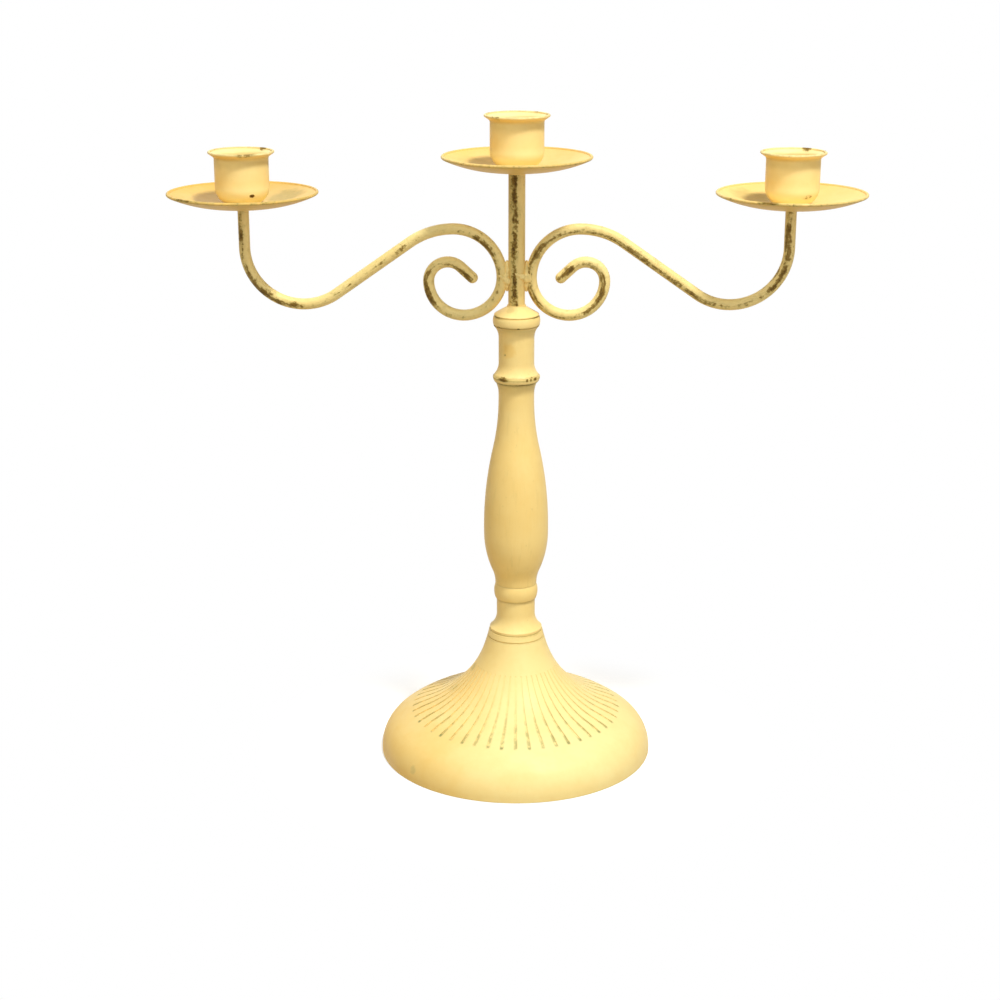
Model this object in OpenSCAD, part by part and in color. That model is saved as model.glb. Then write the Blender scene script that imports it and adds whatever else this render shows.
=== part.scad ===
// Three-arm candelabra: a fluted round base, a turned column built up in
// sections on one tie rod, and a welded head of bent rods that screws into
// the column's cap and carries three drip pans, each with a candle cup.
// Millimetres. +Z is up, the arms reach along X, and the origin is the
// centre of the face that the base stands on.

/* [Base] */
// Radius of the base at its foot
foot_r = 66.5; // [65:0.5:80]
// Height of the base's top face
base_h = 59; // [57:0.5:66]
// Radius of the base's top face
base_top_r = 13.8; // [13:0.1:15]
// Wall of the base casting
base_wall = 3; // [2:0.5:4]
// Thickness of the solid deck under the base's top face
deck_h = 12; // [8:1:14]
// Radius of the hollow curve up to the top face, as a share of the mean of height and width
cove_share = 0.868; // [0.75:0.004:0.948]
// Radius of the gentle brow that the flutes run over, as a share of the width
brow_share = 1.214; // [0.954:0.01:1.374]
// Radius of the rounded outer edge, as a share of the height
edge_share = 0.305; // [0.205:0.005:0.38]
// Slope at the top face, as a multiple of the base's mean slope
top_ratio = 3.01; // [2.51:0.05:3.61]
// Slope where the hollow curve meets the brow, as a multiple of the mean slope
brow_ratio = 0.373; // [0.353:0.005:0.438]
// Slope where the brow meets the rounded edge, as a multiple of the mean slope
edge_ratio = 0.692; // [0.572:0.005:0.802]
// Height of the upright foot below the rounded edge
foot_h = 1; // [0.5:0.1:3]

/* [Flutes] */
// Number of flutes round the base
flute_count = 48; // [24:1:60]
// Depth of a flute, measured straight down
flute_depth = 0.5; // [0.4:0.1:1.2]
// Width of a flute as an angle about the axis, in degrees
flute_angle = 1.3; // [0.8:0.1:2.5]
// Radius at which the flutes begin, by the neck
flute_in_r = 19.5; // [19:0.5:26]
// Radius at which the flutes end, on the brow
flute_out_r = 51; // [46:0.5:54]

/* [Column] */
// Height of the grooved ring on the base
neck_ring_h = 3.4; // [2:0.1:6]
// Radius of the grooved ring at its top
neck_ring_r = 13; // [12.4:0.1:14]
// Height of the lower spool
lower_spool_h = 15.9; // [13:0.1:22]
// Radius of the lower spool's lip, on the grooved ring
spool_lip_r = 12.7; // [12:0.1:13.4]
// Height of that lip
spool_lip_h = 1.2; // [0.8:0.1:2]
// Radius of the lower spool's waist
lower_waist_r = 9.3; // [8.6:0.1:9.5]
// Height of the hollow curve at the foot of the lower spool
spool_cove_h = 7.2; // [6:0.1:9]
// Height of the lower ring
lower_ring_h = 8.2; // [6:0.1:10]
// Radius of the lower ring where it is widest
lower_ring_r = 10.6; // [10.3:0.1:12]
// Radius of the lower ring at its bottom edge
lower_ring_edge_r = 9.7; // [9.5:0.1:10.2]
// Height of the baluster
baluster_h = 100.4; // [80:0.1:140]
// Radius of the baluster's belly
belly_r = 15.5; // [13:0.1:20]
// Radius of the baluster's foot
baluster_foot_r = 10; // [9.6:0.1:10.2]
// Radius of the baluster's neck
baluster_neck_r = 8.45; // [8.2:0.05:9]
// Height of the curve from the baluster's foot up to its belly
belly_rise = 26; // [20:1:34]
// Height of the straight stretch at the belly
belly_flat = 3; // [1:0.5:6]
// Hollow part of the curve below the belly, as a share of its height
foot_hollow_share = 0.25; // [0.15:0.01:0.5]
// Hollow part of the curve above the belly, as a share of its height
neck_hollow_share = 0.38; // [0.25:0.01:0.5]
// Height of the straight stretch at the baluster's neck
neck_waist_h = 3; // [1:0.5:10]
// Height of the flare at the baluster's top
neck_flare_h = 5.6; // [4:0.1:8]
// Radius of that flare at the baluster's top face
neck_flare_r = 9.8; // [9.4:0.1:10.4]
// Height of the bead ring
bead_ring_h = 3.4; // [2.5:0.1:5]
// Radius of the bead ring where it is widest
bead_ring_r = 11.1; // [10.9:0.1:13]
// Height of the bead ring's widest line, as a share of its height
bead_ring_share = 0.75; // [0.5:0.05:0.8]
// Height of the upper spool
upper_spool_h = 23.7; // [18:0.1:36]
// Radius of the upper spool's waist
upper_waist_r = 8.4; // [8:0.1:8.8]
// Radius of the upper spool's two flared ends
spool_end_r = 10.7; // [10.2:0.1:10.9]
// Height of each flared end
spool_end_h = 5.8; // [4.5:0.1:8]
// Radius of the small round crease at each seam
crease_r = 0.5; // [0.3:0.1:0.8]

/* [Cap] */
// Height of the cap's round band
cap_band_h = 4.7; // [3.5:0.1:7]
// Radius of the cap's band where it is widest
cap_r = 11.1; // [10.9:0.1:13]
// Slope of the cap's top, in degrees
cap_angle = 30; // [20:1:45]
// Radius of the rounded edge below that slope
cap_edge_r = 1.2; // [0.6:0.1:2]
// Radius of the hollow curve from that slope up to the stem
cap_fillet_r = 1; // [0.5:0.1:2]
// Ledge of the cap around the stem
cap_ledge = 0.5; // [0.3:0.1:1]
// Length of the cap's spigot, inside the upper spool
cap_spigot_h = 14; // [12:0.5:17]

/* [Tie rod] */
// Diameter of the tie rod
tie_rod_d = 8; // [6:0.5:8]
// Clearance of the tie rod in the pieces that it passes through
tie_rod_gap = 0.25; // [0.15:0.05:0.4]
// Wall of the hollow column sections at their narrow ends
section_wall = 3; // [2.4:0.1:3.2]
// Length of the spigots that centre one section on the next
spigot_h = 3; // [2:0.5:3.4]
// Clearance of a spigot in its bore
spigot_gap = 0.1; // [0.05:0.05:0.2]
// Thread of the tie rod taken up by the cap
tie_grip = 10; // [8:0.5:11]
// Clearance of every thread, taken as a plain cylinder
thread_gap = 0.05; // [0.03:0.01:0.08]
// Across flats of the nut under the base
nut_flats = 13; // [11:0.5:13]
// Height of that nut
nut_h = 6.5; // [5:0.5:8]
// Radius of the washer over the nut
washer_r = 8.5; // [7.5:0.5:9.5]
// Thickness of that washer
washer_h = 1.6; // [1:0.1:2]
// Length of tie rod that shows below the nut
rod_tail = 2; // [1:0.5:4]

/* [Stem] */
// Diameter of the stem, with its paint
stem_d = 7.8; // [7:0.1:9]
// Length of the stem, from the cap to the centre pan
stem_h = 62.5; // [56:0.5:90]
// Diameter of the threaded stud in the stem's lower end
stud_d = 5; // [4:0.5:5]
// Length of stud in the cap, which is how far it unscrews
stud_grip = 8.6; // [6:0.1:8.8]
// Length of stud in the stem
stud_hold = 11; // [8:0.5:14]
// Room left under the stud in the cap's threaded hole
stud_floor_gap = 0.4; // [0.2:0.1:0.6]

/* [Arms] */
// Diameter of the arm rods, with their paint
arm_d = 5.2; // [4.5:0.1:6]
// Distance from the axis to the centre of each side pan
arm_reach = 126; // [118:1:160]
// Drop of the side pans below the centre pan
side_drop_h = 16.6; // [0:0.1:24]
// Height of the weld above the cap
weld_rise = 13; // [12:0.1:18]
// Gap between stem and arm that the weld fills
weld_gap = 0.3; // [0.2:0.1:0.6]
// Bend radius of the arch over the scroll
arch_r = 22.6; // [20:0.1:26]
// Bend radius where the arch runs into the slope
shoulder_r = 35; // [28:1:42]
// Slope of the straight stretch, in degrees
arm_angle = 35; // [28:0.5:38]
// Bend radius of the turn up to the pan
elbow_r = 26.7; // [22:0.1:28]
// Bend radius of the scroll's lower quarter, by the stem
scroll_inner_r = 17.9; // [16:0.1:20]
// Bend radius of the scroll's lower quarter, away from the stem
scroll_outer_r = 16.2; // [15:0.1:19]
// Bend radius of the curl at the scroll's end
curl_r = 8.9; // [7.5:0.1:10]
// Turn of that curl, in degrees
curl_angle = 133; // [110:1:150]
// Straight length at the rod's free end, up to its rounded tip
curl_tail = 7.3; // [5:0.1:8]
// Radius of the weld bead
bead_r = 2.9; // [2.4:0.1:3.4]
// Length of the straight part of the weld bead
bead_l = 7; // [4:0.5:9]

/* [Drip pans] */
// Radius of a pan, with its rolled edge
pan_r = 34.8; // [28:0.1:42]
// Depth of a pan, from the top of its rolled edge to its underside
pan_depth = 6.8; // [5.5:0.1:10]
// Radius of the flat in the middle of a pan
pan_flat_r = 9; // [8:0.5:11]
// Sheet thickness of a pan
pan_t = 0.9; // [0.7:0.1:1.2]
// Radius of the rolled edge of a pan
pan_edge_r = 0.65; // [0.5:0.05:0.9]
// Reach of the weld fillet under a pan
pan_weld_r = 1.8; // [1:0.1:2.5]

/* [Candle cups] */
// Outer radius of a cup
cup_r = 12.45; // [11.5:0.05:13.5]
// Height of a cup, from the pan to the top of its rim
cup_h = 24.5; // [22:0.1:34]
// Sheet thickness of a cup
cup_t = 0.8; // [0.6:0.1:1]
// Radius of the rounded bottom edge
cup_corner_r = 8; // [5:0.5:8.5]
// Radius of the bend under the lip
lip_bend_r = 1.6; // [1.2:0.1:2.5]
// Rise of the flared lip, in degrees above level
lip_angle = 35; // [25:1:50]
// Radius of the cup at its rim
rim_r = 15.2; // [14.6:0.1:17]
// Radius of the rolled edge of the rim
rim_edge_r = 0.6; // [0.45:0.05:0.8]

/* [Cup screws] */
// Diameter of a cup screw
screw_d = 3; // [2.5:0.5:3]
// Clearance of the screw in the cup and the pan
screw_gap = 0.2; // [0.1:0.05:0.4]
// Diameter of the screw's head
screw_head_d = 5.6; // [5:0.1:6.5]
// Height of the screw's head
screw_head_h = 1.9; // [1.4:0.1:2.4]
// Length of screw in the rod below the pan
screw_grip = 6; // [4:0.5:8]
// Width of the slot in the screw's head
slot_w = 0.8; // [0.6:0.1:1]
// Depth of that slot
slot_h = 0.9; // [0.6:0.1:1]

/* [Hidden] */
$fn = 96;

// Heights of the seams, from the floor up
neck_ring_z = base_h;
lower_spool_z = neck_ring_z + neck_ring_h;
lower_ring_z = lower_spool_z + lower_spool_h;
baluster_z = lower_ring_z + lower_ring_h;
bead_ring_z = baluster_z + baluster_h;
upper_spool_z = bead_ring_z + bead_ring_h;
cap_z = upper_spool_z + upper_spool_h;
cap_top_z = cap_z + cap_band_h;
cap_a = 180 - snug_slope(cap_angle);
cap_run = (spool_end_r - stem_d / 2 - cap_ledge - (cap_edge_r + cap_fillet_r) * (1 - sin(cap_a)))
    / -cos(cap_a);
cap_runs = [[cap_edge_r, cap_a - 90], [0, cap_run], [cap_fillet_r, 90 - cap_a]];
stem_z = cap_top_z - (cap_edge_r + cap_fillet_r) * cos(cap_a) + cap_run * sin(cap_a);

// Heights of the head
weld_z = stem_z + weld_rise;
centre_pan_z = stem_z + stem_h;
side_pan_z = centre_pan_z - side_drop_h;

// Radii of rods and holes
stem_r = stem_d / 2;
arm_r = arm_d / 2;
tie_rod_r = tie_rod_d / 2;
tie_hole_r = tie_rod_r + tie_rod_gap;
stud_r = stud_d / 2;
screw_r = screw_d / 2;
spool_bore_r = upper_waist_r - section_wall;
top_bore_r = baluster_neck_r - section_wall;
foot_bore_r = baluster_foot_r - section_wall;
lower_bore_r = lower_waist_r - section_wall;

// Tie rod, nut and washer
clamp_z = base_h - deck_h;
nut_z = clamp_z - washer_h - nut_h;
tie_rod_z = nut_z - rod_tail;
cap_spigot_z = cap_z - cap_spigot_h;
tie_rod_top_z = cap_spigot_z + tie_grip;
tie_rod_l = tie_rod_top_z - tie_rod_z;
stud_z = stem_z - stud_grip;

// A chain is a list of runs, each [radius, turn] for a bend, where a turn to
// the left is positive, or [0, length] for a straight. A pose is [x, z,
// heading], and pose_after() carries it over one run.
function side(run) = run[1] < 0 ? -1 : 1;
function centre_of(pose, run) =
    [pose[0] - side(run) * run[0] * sin(pose[2]),
     pose[1] + side(run) * run[0] * cos(pose[2])];
function pose_after(pose, run) =
    run[0] == 0
    ? [pose[0] + run[1] * cos(pose[2]), pose[1] + run[1] * sin(pose[2]), pose[2]]
    : let (c = centre_of(pose, run), h = pose[2] + run[1])
      [c[0] + side(run) * run[0] * sin(h), c[1] - side(run) * run[0] * cos(h), h];
function pose_at(pose, runs, n) = n == 0 ? pose : pose_after(pose_at(pose, runs, n - 1), runs[n - 1]);

// The same chain moved sideways, where a positive move is to the left
function moved_pose(pose, move) = [pose[0] - move * sin(pose[2]), pose[1] + move * cos(pose[2]), pose[2]];
function moved_runs(runs, move) =
    [for (run = runs) run[0] == 0 ? run : [run[0] - side(run) * move, run[1]]];

// Radii and slopes are rounded to a thousandth, so that bends and straights
// meet without a step: a slope is a whole number of thousandths in one.
function snug(v) = round(v * 1000) / 1000;
function direction(h) =
    let (big = max(abs(cos(h)), abs(sin(h)))) [snug(cos(h) / big), snug(sin(h) / big)];
function snug_slope(h) = atan2(direction(h)[1], direction(h)[0]);

// Bend that leaves the upright and gains out in a height of about h
function flare(out, h) =
    let (bend_r = snug((h * h + out * out) / (2 * out))) [bend_r, acos(1 - out / bend_r)];
function flare_h(out, h) = flare(out, h)[0] * sin(flare(out, h)[1]);

// Two bends that gain out in a height of about h, upright at both ends; hollow
// is the share of the height that is hollow
function ogee(out, h, hollow) =
    let (sum_r = (h * h + out * out) / (2 * out),
         r1 = snug(hollow * sum_r),
         r2 = snug((1 - hollow) * sum_r))
    [[r1, acos(1 - out / (r1 + r2))], [r2, acos(1 - out / (r1 + r2))]];
function ogee_h(out, h, hollow) =
    let (runs = ogee(out, h, hollow)) (runs[0][0] + runs[1][0]) * sin(runs[0][1]);

// The base's outline from its top face to the floor. Its bends and slopes
// follow its height and width, and its two straights take the lengths that
// close the outline on foot_r and foot_h.
base_rise = base_h - foot_h;
base_width = foot_r - base_top_r;
mean_slope = base_rise / base_width;
cove_r = snug(cove_share * sqrt(base_rise * base_width));
brow_r = snug(brow_share * base_width);
edge_r = snug(edge_share * base_rise);
top_a = snug_slope(atan(top_ratio * mean_slope));
brow_a = snug_slope(atan(brow_ratio * mean_slope));
edge_a = snug_slope(atan(edge_ratio * mean_slope));
base_bend_r = cove_r * (sin(top_a) - sin(brow_a)) + brow_r * (sin(edge_a) - sin(brow_a))
    + edge_r * (1 - sin(edge_a));
base_bend_z = cove_r * (cos(brow_a) - cos(top_a)) + brow_r * (cos(brow_a) - cos(edge_a))
    + edge_r * cos(edge_a);
base_run_r = base_width - base_bend_r;
base_run_z = base_rise - base_bend_z;
neck_run = (base_run_z * cos(brow_a) - base_run_r * sin(brow_a)) / sin(top_a - brow_a);
brow_run = (base_run_r * sin(top_a) - base_run_z * cos(top_a)) / sin(top_a - brow_a);
base_start = [base_top_r, base_h, -top_a];
base_runs = [[0, neck_run], [cove_r, top_a - brow_a], [0, brow_run],
             [brow_r, brow_a - edge_a], [edge_r, edge_a - 90], [0, foot_h]];

// The baluster's outline from its foot to its top flare; the straight at the
// belly takes up what the rounded radii leave.
foot_out = belly_r - baluster_foot_r;
neck_out = belly_r - baluster_neck_r;
neck_z = bead_ring_z - neck_flare_h - neck_waist_h;
foot_bends = ogee(foot_out, belly_rise, foot_hollow_share);
neck_rise = neck_z - baluster_z - belly_rise - belly_flat;
neck_bends = ogee(neck_out, neck_rise, neck_hollow_share);
belly_run = neck_z - baluster_z - ogee_h(foot_out, belly_rise, foot_hollow_share)
    - ogee_h(neck_out, neck_rise, neck_hollow_share);
neck_flare = snug((pow(neck_flare_h, 2) + pow(neck_flare_r - baluster_neck_r, 2))
    / (2 * (neck_flare_r - baluster_neck_r)));
baluster_start = [baluster_foot_r, baluster_z, 90];
baluster_runs = [[foot_bends[0][0], -foot_bends[0][1]], foot_bends[1], [0, belly_run],
                 neck_bends[1], [neck_bends[0][0], -neck_bends[0][1]], [0, neck_waist_h]];

// The right arm, from the weld out to its pan, and from the weld round its scroll
arm_weld_x = stem_r + weld_gap + arm_r;
arm_run = (arm_reach - arm_weld_x - arch_r - shoulder_r * sin(arm_angle)
    - elbow_r * (1 + sin(arm_angle))) / cos(arm_angle);
elbow_top_z = weld_z + arch_r - shoulder_r * (1 - cos(arm_angle)) - arm_run * sin(arm_angle)
    + elbow_r * cos(arm_angle);
arm_runs = [[arch_r, -90], [shoulder_r, -arm_angle], [0, arm_run],
            [elbow_r, 90 + arm_angle], [0, side_pan_z - elbow_top_z]];
scroll_runs = [[scroll_inner_r, 90], [scroll_outer_r, 90], [curl_r, curl_angle], [0, curl_tail]];

// The pan's underside and the cup's outside. The sheet's edge ends in a
// rolled bead, centred half a sheet outside the end of the inner face.
pan_end_r = pan_r - pan_edge_r - pan_t / 2;
pan_bend = snug((pow(pan_end_r - pan_flat_r, 2) + pow(pan_depth - pan_edge_r - pan_t, 2))
    / (2 * (pan_depth - pan_edge_r - pan_t)));
pan_start = [pan_flat_r, 0, 0];
pan_runs = [[pan_bend + pan_t, asin((pan_end_r - pan_flat_r) / pan_bend)]];
lip_a = snug_slope(lip_angle);
lip_end_r = rim_r - rim_edge_r - cup_t / 2;
lip_run = (lip_end_r + cup_t * sin(lip_a) - cup_r - lip_bend_r * (1 - sin(lip_a))) / cos(lip_a);
lip_h = lip_bend_r * cos(lip_a) + lip_run * sin(lip_a) + cup_t * cos(lip_a);
cup_wall_h = cup_h - rim_edge_r - cup_corner_r - lip_h;
cup_start = [cup_r - cup_corner_r, pan_t, 0];
cup_runs = [[cup_corner_r, 90], [0, cup_wall_h], [lip_bend_r, lip_a - 90], [0, lip_run]];

// Length by which a cutting shape passes the face that it cuts
cut = 1;
// Extra radius of the ball that joins two runs of a rod
seam_lap = 0.02;

// Colours
cream = [0.96, 0.84, 0.56];
bare_steel = [0.62, 0.62, 0.64];

// Moves to a point in a coarse step and a fine one, which keeps its place exact
module place(p) {
    translate([snug(p[0]), snug(p[1])]) translate([p[0] - snug(p[0]), p[1] - snug(p[1])]) children();
}

// Flat band between two heights and two radii
module band(z1, z2, r1, r2) {
    polygon([[r1, z1], [r2, z1], [r2, z2], [r1, z2]]);
}

// Turned outline from the axis out to one run of a chain
module turned_run(p, run) {
    q = pose_after(p, run);
    if (run[0] == 0) {
        reach = ceil(run[1]) + 1;
        width = ceil(p[0]) + 2 * reach;
        d = direction(p[2]);
        intersection() {
            band(p[1], q[1], 0, max(p[0], q[0]) + cut);
            place(p) polygon([-reach * d, reach * d, reach * d - [width, 0], -reach * d - [width, 0]]);
        }
    } else {
        c = centre_of(p, run);
        if ((run[1] > 0) == (q[1] > p[1])) {
            if (c[0] > 0) band(p[1], q[1], 0, c[0]);
            intersection() {
                band(p[1], q[1], max(c[0], 0), c[0] + run[0] + cut);
                place(c) circle(r = run[0]);
            }
        } else difference() {
            band(p[1], q[1], 0, c[0]);
            place(c) circle(r = run[0]);
        }
    }
}

// Turned outline from the axis out to a chain that climbs or falls all the way
module turned(pose, runs) {
    for (n = [0 : len(runs) - 1]) turned_run(pose_at(pose, runs, n), runs[n]);
}

// Sheet turned along a chain, which is its outer face, with a rolled bead at its edge
module pressed(pose, runs, thick, bead) {
    end = pose_at(moved_pose(pose, thick), moved_runs(runs, thick), len(runs));
    difference() {
        turned(pose, concat(runs, [[thick, 90 - end[2]]]));
        turned(moved_pose(pose, thick), moved_runs(runs, thick));
        block(pose[1] - cut, thick + 2 * cut, screw_r + screw_gap);
    }
    place([end[0] + thick / 2, end[1]]) circle(r = bead);
}

// Round rod along a chain that lies in the XZ plane, with a ball at each seam
module rod(pose, runs, r) {
    for (n = [0 : len(runs) - 1]) {
        p = pose_at(pose, runs, n);
        if (n > 0) translate([p[0], 0, p[1]]) sphere(r = r + seam_lap);
        if (runs[n][0] == 0) {
            translate([p[0], 0, p[1]]) rotate([0, 90 - p[2], 0]) cylinder(r = r, h = runs[n][1]);
        } else {
            c = centre_of(p, runs[n]);
            from = p[2] - side(runs[n]) * 90 + min(runs[n][1], 0);
            translate([c[0], 0, c[1]]) rotate([90, 0, 0])
                rotate_extrude(angle = abs(runs[n][1]), start = from)
                    translate([runs[n][0], 0]) circle(r = r);
        }
    }
}

// Rectangle of a turned outline, from the axis or from an inner radius
module block(z, h, r, inner = 0) {
    translate([inner, z]) square([r - inner, h]);
}

// Outline of a ring that bulges from its bottom edge to a widest radius, at a share of its height
module bulge(z, h, edge_r, wide_r, share) {
    rise = share * h;
    out = wide_r - edge_r;
    bend_r = snug((rise * rise + out * out) / (2 * out));
    intersection() {
        block(z, h, wide_r + cut);
        translate([wide_r - bend_r, z + rise]) circle(r = bend_r);
    }
}

// Half-round crease at a seam
module crease(z, r) {
    translate([r, z]) circle(r = crease_r);
}

// Outline of the base casting, hollow below its deck
module base_outline() {
    difference() {
        turned(base_start, base_runs);
        intersection() {
            turned(moved_pose(base_start, -base_wall), moved_runs(base_runs, -base_wall));
            block(0, clamp_z, foot_r);
        }
        block(0, base_h + cut, tie_hole_r);
    }
}

// Outline of a channel that follows the base's face at the flutes' depth
module flute_channel() {
    intersection() {
        difference() {
            translate([0, cut]) turned(base_start, base_runs);
            translate([0, -flute_depth]) turned(base_start, base_runs);
        }
        block(0, base_h, flute_out_r, flute_in_r);
    }
}

// Star, seen from above, whose points are as wide as the flutes
module flute_star() {
    corners = [[base_top_r, -1], [foot_r, -1], [foot_r, 1], [base_top_r, 1]];
    polygon([for (n = [0 : flute_count - 1], corner = corners)
        let (a = n * 360 / flute_count + corner[1] * flute_angle / 2)
        [corner[0] * cos(a), corner[0] * sin(a)]]);
}

module base_shell() {
    color(cream) difference() {
        rotate_extrude() base_outline();
        intersection() {
            rotate_extrude() flute_channel();
            linear_extrude(base_h) flute_star();
        }
    }
}

module neck_ring() {
    color(cream) rotate_extrude() difference() {
        union() {
            polygon([[tie_hole_r, neck_ring_z], [base_top_r, neck_ring_z],
                     [neck_ring_r, lower_spool_z], [tie_hole_r, lower_spool_z]]);
            block(lower_spool_z, spigot_h, lower_bore_r - spigot_gap, tie_hole_r);
        }
        crease(neck_ring_z, base_top_r);
        crease(lower_spool_z, neck_ring_r);
    }
}

module lower_spool() {
    lip_z = lower_spool_z + spool_lip_h;
    bend = flare(spool_lip_r - lower_waist_r, spool_cove_h);
    waist_run = lower_ring_z - lip_z - flare_h(spool_lip_r - lower_waist_r, spool_cove_h);
    color(cream) rotate_extrude() difference() {
        union() {
            block(lower_spool_z, spool_lip_h, spool_lip_r);
            turned([spool_lip_r, lip_z, 90 + bend[1]], [[bend[0], -bend[1]], [0, waist_run]]);
        }
        block(lower_spool_z, lower_spool_h, lower_bore_r);
    }
}

module lower_ring() {
    color(cream) rotate_extrude() difference() {
        union() {
            bulge(lower_ring_z, lower_ring_h, lower_ring_edge_r, lower_ring_r, 1 / 2);
            block(lower_ring_z - spigot_h, spigot_h, lower_bore_r - spigot_gap);
            block(baluster_z, spigot_h, foot_bore_r - spigot_gap);
        }
        block(lower_ring_z - spigot_h, lower_ring_h + 2 * spigot_h, tie_hole_r);
        crease(lower_ring_z, lower_ring_edge_r);
    }
}

module baluster() {
    flare_turn = asin(neck_flare_h / neck_flare);
    color(cream) rotate_extrude() difference() {
        turned(baluster_start, concat(baluster_runs, [[neck_flare, -flare_turn]]));
        turned(moved_pose(baluster_start, section_wall),
               moved_runs(concat(baluster_runs, [[0, neck_flare_h]]), section_wall));
    }
}

module bead_ring() {
    edge_r = neck_flare_r + crease_r / 2;
    color(cream) rotate_extrude() difference() {
        union() {
            bulge(bead_ring_z, bead_ring_h, edge_r, bead_ring_r, bead_ring_share);
            block(bead_ring_z - spigot_h, spigot_h, top_bore_r - spigot_gap);
            block(upper_spool_z, spigot_h, spool_bore_r - spigot_gap);
        }
        block(bead_ring_z - spigot_h, bead_ring_h + 2 * spigot_h, tie_hole_r);
        crease(bead_ring_z, edge_r);
        crease(upper_spool_z, bead_ring_r);
    }
}

module upper_spool() {
    bend = flare(spool_end_r - upper_waist_r, spool_end_h);
    waist_run = upper_spool_h - 2 * flare_h(spool_end_r - upper_waist_r, spool_end_h);
    color(cream) rotate_extrude() difference() {
        turned([spool_end_r, upper_spool_z, 90 + bend[1]],
               [[bend[0], -bend[1]], [0, waist_run], [bend[0], -bend[1]]]);
        block(upper_spool_z, upper_spool_h, spool_bore_r);
    }
}

module cap() {
    color(cream) rotate_extrude() difference() {
        union() {
            bulge(cap_z, cap_band_h, spool_end_r, cap_r, 1 / 2);
            turned([spool_end_r, cap_top_z, 90], cap_runs);
            block(cap_spigot_z, cap_spigot_h, spool_bore_r - spigot_gap);
        }
        block(cap_spigot_z, tie_grip, tie_rod_r + thread_gap);
        block(stud_z - stud_floor_gap, stud_grip + stud_floor_gap, stud_r + thread_gap);
        crease(cap_z, spool_end_r);
        crease(cap_top_z, spool_end_r);
    }
}

module tie_rod() {
    color(bare_steel) translate([0, 0, tie_rod_z]) cylinder(r = tie_rod_r, h = tie_rod_l);
}

module clamp_washer() {
    color(bare_steel) translate([0, 0, clamp_z - washer_h]) difference() {
        cylinder(r = washer_r, h = washer_h);
        translate([0, 0, -cut]) cylinder(r = tie_hole_r, h = washer_h + 2 * cut);
    }
}

module clamp_nut() {
    color(bare_steel) translate([0, 0, nut_z]) difference() {
        cylinder(r = nut_flats / 2 / cos(30), h = nut_h, $fn = 6);
        translate([0, 0, -cut]) cylinder(r = tie_rod_r + thread_gap, h = nut_h + 2 * cut);
    }
}

module stem_stud() {
    color(bare_steel) translate([0, 0, stud_z]) cylinder(r = stud_r, h = stud_grip + stud_hold);
}

// Threaded hole for a cup screw, from the pan down into the rod's end
module screw_hole() {
    translate([0, 0, -screw_grip]) cylinder(r = screw_r + thread_gap, h = screw_grip + cut);
}

module stem() {
    color(cream) difference() {
        translate([0, 0, stem_z]) cylinder(r = stem_r, h = stem_h);
        translate([0, 0, stem_z - cut]) cylinder(r = stud_r + thread_gap, h = stud_hold + cut);
        translate([0, 0, centre_pan_z]) screw_hole();
    }
}

module arm_rods() {
    tip = pose_at([arm_weld_x, weld_z, -90], scroll_runs, len(scroll_runs));
    rod([arm_weld_x, weld_z, 90], arm_runs, arm_r);
    rod([arm_weld_x, weld_z, -90], scroll_runs, arm_r);
    translate([tip[0], 0, tip[1]]) sphere(r = arm_r + seam_lap);
}

module arm_right() {
    color(cream) difference() {
        arm_rods();
        translate([arm_reach, 0, side_pan_z]) screw_hole();
    }
}

module arm_left() {
    mirror([1, 0, 0]) arm_right();
}

// Weld that fills the gap between stem and arm, front and back
module weld_right() {
    color(cream) difference() {
        translate([stem_r + weld_gap / 2, 0, weld_z]) union() {
            translate([0, 0, -bead_l / 2]) cylinder(r = bead_r, h = bead_l);
            translate([0, 0, -bead_l / 2]) sphere(r = bead_r);
            translate([0, 0, bead_l / 2]) sphere(r = bead_r);
        }
        translate([0, 0, stem_z]) cylinder(r = stem_r, h = stem_h);
        arm_rods();
    }
}

module weld_left() {
    mirror([1, 0, 0]) weld_right();
}

// Hollow fillet of weld round the top of a rod, under its pan
module pan_weld(rod_r) {
    rotate_extrude() difference() {
        translate([rod_r, -pan_weld_r]) square(pan_weld_r);
        translate([rod_r + pan_weld_r, -pan_weld_r]) circle(r = pan_weld_r);
    }
}

// Places something at each of the three pans
module at_pans() {
    for (x = [-arm_reach, arm_reach]) translate([x, 0, side_pan_z]) children();
    translate([0, 0, centre_pan_z]) children();
}

module pan_welds() {
    color(cream) {
        for (x = [-arm_reach, arm_reach]) translate([x, 0, side_pan_z]) pan_weld(arm_r);
        translate([0, 0, centre_pan_z]) pan_weld(stem_r);
    }
}

module pan() {
    color(cream) rotate_extrude() pressed(pan_start, pan_runs, pan_t, pan_edge_r);
}

module pan_left() {
    translate([-arm_reach, 0, side_pan_z]) pan();
}

module pan_centre() {
    translate([0, 0, centre_pan_z]) pan();
}

module pan_right() {
    translate([arm_reach, 0, side_pan_z]) pan();
}

module cup() {
    color(cream) rotate_extrude() pressed(cup_start, cup_runs, cup_t, rim_edge_r);
}

module cup_left() {
    translate([-arm_reach, 0, side_pan_z]) cup();
}

module cup_centre() {
    translate([0, 0, centre_pan_z]) cup();
}

module cup_right() {
    translate([arm_reach, 0, side_pan_z]) cup();
}

module cup_screw() {
    seat_z = pan_t + cup_t;
    difference() {
        union() {
            translate([0, 0, -screw_grip]) cylinder(r = screw_r, h = screw_grip + seat_z);
            translate([0, 0, seat_z]) cylinder(d = screw_head_d, h = screw_head_h);
        }
        translate([-screw_head_d, -slot_w / 2, seat_z + screw_head_h - slot_h])
            cube([2 * screw_head_d, slot_w, slot_h + cut]);
    }
}

module cup_screws() {
    color(bare_steel) at_pans() cup_screw();
}

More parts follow.
